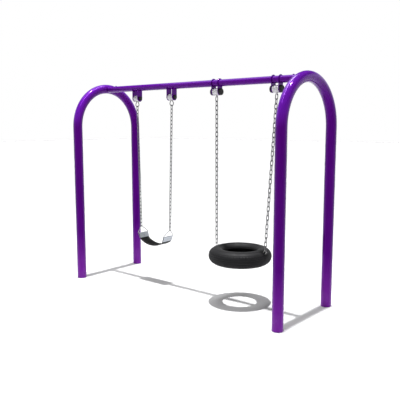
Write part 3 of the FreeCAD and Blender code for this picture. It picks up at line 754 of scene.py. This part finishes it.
def seat_line(distance):
    """Point and upward direction on the whole seat line, from its end at -X."""
    from_middle = distance - HALF_BELT
    point, up = half_line(abs(from_middle))
    if from_middle < 0:
        point = Vector((2 * SEAT_X - point.x, 0, point.z))
        up = Vector((-up.x, 0, up.z))
    return point, up


print("belt length", round(2 * HALF_BELT, 4), "sag radius", round(SAG_R, 4))

# %% [markdown]
# ### Flat belt
#
# The top is sunk a little, except for a margin, and every second face of the row along it is raised again
# as a rib, both with Inset. The lips are the long edges, bevelled round. The ribs stop short of the
# clamps, where the belt has to lie flat.

# %% Belt
RIB_PITCH = 0.006
RIB_HEIGHT = 0.0012
RIB_EDGE = 0.0005
MARGIN = 0.005
FREE_FROM_CLAMP = 0.006
BELT_LIP = 0.0035
BELT_LENGTH = 2 * HALF_BELT
rows = 2 * int(BELT_LENGTH / RIB_PITCH)
belt = flat_strip("belt", BELT_LENGTH, BELT_WIDTH, BELT_THICK, BELT_LIP, 4, rows)


def on_top(face):
    """Faces of the belt's top between the clamps."""
    place = middle(face)
    covered = STRAIGHT + FREE_FROM_CLAMP
    return face.normal.z > 0.99 and covered < place.x < BELT_LENGTH - covered


def is_rib(face):
    return on_top(face) and int(middle(face).x / BELT_LENGTH * rows) % 2 == 0


pick(belt, "FACE", on_top)
bpy.ops.mesh.inset(thickness=MARGIN, depth=-RIB_HEIGHT)
SUNK_BELOW = (BELT_THICK - RIB_HEIGHT) / 2
ribs = pick(belt, "FACE", lambda face: is_rib(face) and middle(face).z < SUNK_BELOW)
bpy.ops.mesh.inset(thickness=RIB_EDGE, depth=RIB_HEIGHT * 0.9, use_individual=True)
close_edit(belt, 35)
lay_along(belt, seat_line)
wear(["belt_seat"], belt_rubber)
belongs(belt, "seat", "belt_rubber", belt_rubber, "belt_seat")
print("ribs:", ribs)

# %% [markdown]
# ## Seat clamps
#
# Each clamp is pressed from a flat steel strip: two shallow channels are stamped across each leaf for
# stiffness, its edges are rounded, and it is folded over the triangle's bar with the belt's end inside.
# The fold is another line to lay a strip along: straight, half a turn round the bar, and straight again.

# %% Clamps
PLATE = 0.0025
CLAMP_WIDTH = 0.156
FOLD_R = BELT_THICK / 2 + PLATE / 2
CLAMP_STRIP = 2 * CLAMP_LENGTH + math.pi * FOLD_R
CLAMP_LIP = 0.0009
CLAMP_ROWS = 160
STAMP_FROM_MOUTH = (0.010, 0.048)
STAMP_HALF = 0.0022
STAMP_DEPTH = 0.00066
STAMP_MARGIN = 0.008


def clamp_line(distance):
    """Point and outward direction on the folded strip, from the mouth of its outer leaf."""
    if distance < CLAMP_LENGTH:
        return bar + out * FOLD_R + down * (CLAMP_LENGTH - distance), out
    distance -= CLAMP_LENGTH
    if distance < math.pi * FOLD_R:
        turn = distance / FOLD_R
        outward = out * math.cos(turn) - down * math.sin(turn)
        return bar + outward * FOLD_R, outward
    distance -= math.pi * FOLD_R
    return bar - out * FOLD_R + down * distance, -out


def stamped(distance):
    """1 on the middle of a stamped channel, 0 off it."""
    from_mouth = min(distance, CLAMP_STRIP - distance)
    near = min(abs(from_mouth - place) for place in STAMP_FROM_MOUTH)
    return max(0.0, math.cos(min(near / STAMP_HALF, 1.0) * math.pi / 2))


clamp = flat_strip("clamp_right", CLAMP_STRIP, CLAMP_WIDTH, PLATE, CLAMP_LIP, 3, CLAMP_ROWS)
close_edit(clamp, 35)
for vertex in clamp.data.vertices:
    if vertex.co.z > 0 and abs(vertex.co.y) < CLAMP_WIDTH / 2 - STAMP_MARGIN:
        vertex.co.z -= STAMP_DEPTH * stamped(vertex.co.x)
lay_along(clamp, clamp_line)
belongs(clamp, "seat", "clamp_zinc", clamp_zinc, "seat_clamp_right")
twin = copy_of(clamp, "clamp_left")
for vertex in twin.data.vertices:
    vertex.co.x = 2 * SEAT_X - vertex.co.x
open_edit(twin)
close_edit(twin, 35)
belongs(twin, "seat", "clamp_zinc", clamp_zinc, "seat_clamp_left")

# %% [markdown]
# ## Weld beads
#
# The belt swing's plates are welded to the beam along both faces. A weld is laid in small overlapping
# pools, so a bead is a thin ring with a ripple along it. A torus is made round the beam, its sections swell
# and shrink in turn, and Bisect keeps the lower part, where plate and beam meet. Small round beads join
# each pear ring to its housing.

# %% Plate welds
BEAM_R = 0.03805
BEAM_Z = 2.43
BEAD = 0.0032
PLATE_TOP = BEAM_Z - 0.012
HANGER_PLATE = 0.008
RIPPLES = 96
RIPPLE_SHARE = 0.28


def rippled(torus, centre, ring_radius, count, deep):
    """Swell and shrink a torus's section as it goes round, in small pools."""
    for vertex in torus.data.vertices:
        spoke = vertex.co - centre
        spoke.x = 0
        turn = math.atan2(spoke.z, spoke.y)
        line = centre + spoke.normalized() * ring_radius
        swell = 1 - deep * abs(math.sin(turn * count / 2))
        vertex.co = line + (vertex.co - line) * swell


plates = []
for side in ("left", "right"):
    box_low, box_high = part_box("belt_hanger_plates_" + side)
    plates += [box_low[0], box_low[0] + HANGER_PLATE, box_high[0] - HANGER_PLATE, box_high[0]]
first_place = Vector((plates[0], 0, BEAM_Z))
first = begin(
    bpy.ops.mesh.primitive_torus_add, "plate_weld_1", major_segments=2 * RIPPLES, minor_segments=8,
    major_radius=BEAM_R, minor_radius=BEAD, location=first_place, rotation=(0, math.pi / 2, 0),
)
bpy.ops.object.transform_apply(location=True, rotation=True, scale=True)
rippled(first, first_place, BEAM_R, RIPPLES, RIPPLE_SHARE)
open_edit(first)
bpy.ops.mesh.select_all(action="SELECT")
bpy.ops.mesh.bisect(plane_co=(0, 0, PLATE_TOP), plane_no=(0, 0, 1), use_fill=True, clear_outer=True)
close_edit(first, 60)
welds = [first]
for number, x in enumerate(plates[1:], 2):
    welds.append(copy_of(first, "plate_weld_%d" % number, (x - plates[0], 0, 0)))
for bead in welds:
    belongs(bead, "frame", "purple_coat", coat)

# %% Ring welds
NECK = 0.007
COLLAR_R = 0.0062
COLLAR_BEAD = 0.0018
COLLAR_SINK = 0.0004
COLLAR_POOLS = 9
places = []
for side in ("right", "left"):
    box_low, box_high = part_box("belt_ring_" + side)
    centre = (box_low[0] + box_high[0]) / 2
    places += [(side, centre - NECK), (side, centre + NECK)]
first_x = places[0][1]
housing_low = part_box("belt_housing_right")[0][2]
collar = begin(
    bpy.ops.mesh.primitive_torus_add, "ring_weld_1", major_segments=36, minor_segments=8,
    major_radius=COLLAR_R, minor_radius=COLLAR_BEAD, location=(first_x, 0, housing_low + COLLAR_SINK),
)
for vertex in collar.data.vertices:
    turn = math.atan2(vertex.co.y, vertex.co.x)
    vertex.co.z *= 1 + 0.25 * math.cos(turn * COLLAR_POOLS)
open_edit(collar)
close_edit(collar, 60)
for number, (side, x) in enumerate(places, 1):
    bead = collar if number == 1 else copy_of(collar, "ring_weld_%d" % number, (x - first_x, 0, 0))
    belongs(bead, "belt_line_" + side, "housing_metal", dip)

# %% End
print("scene built")
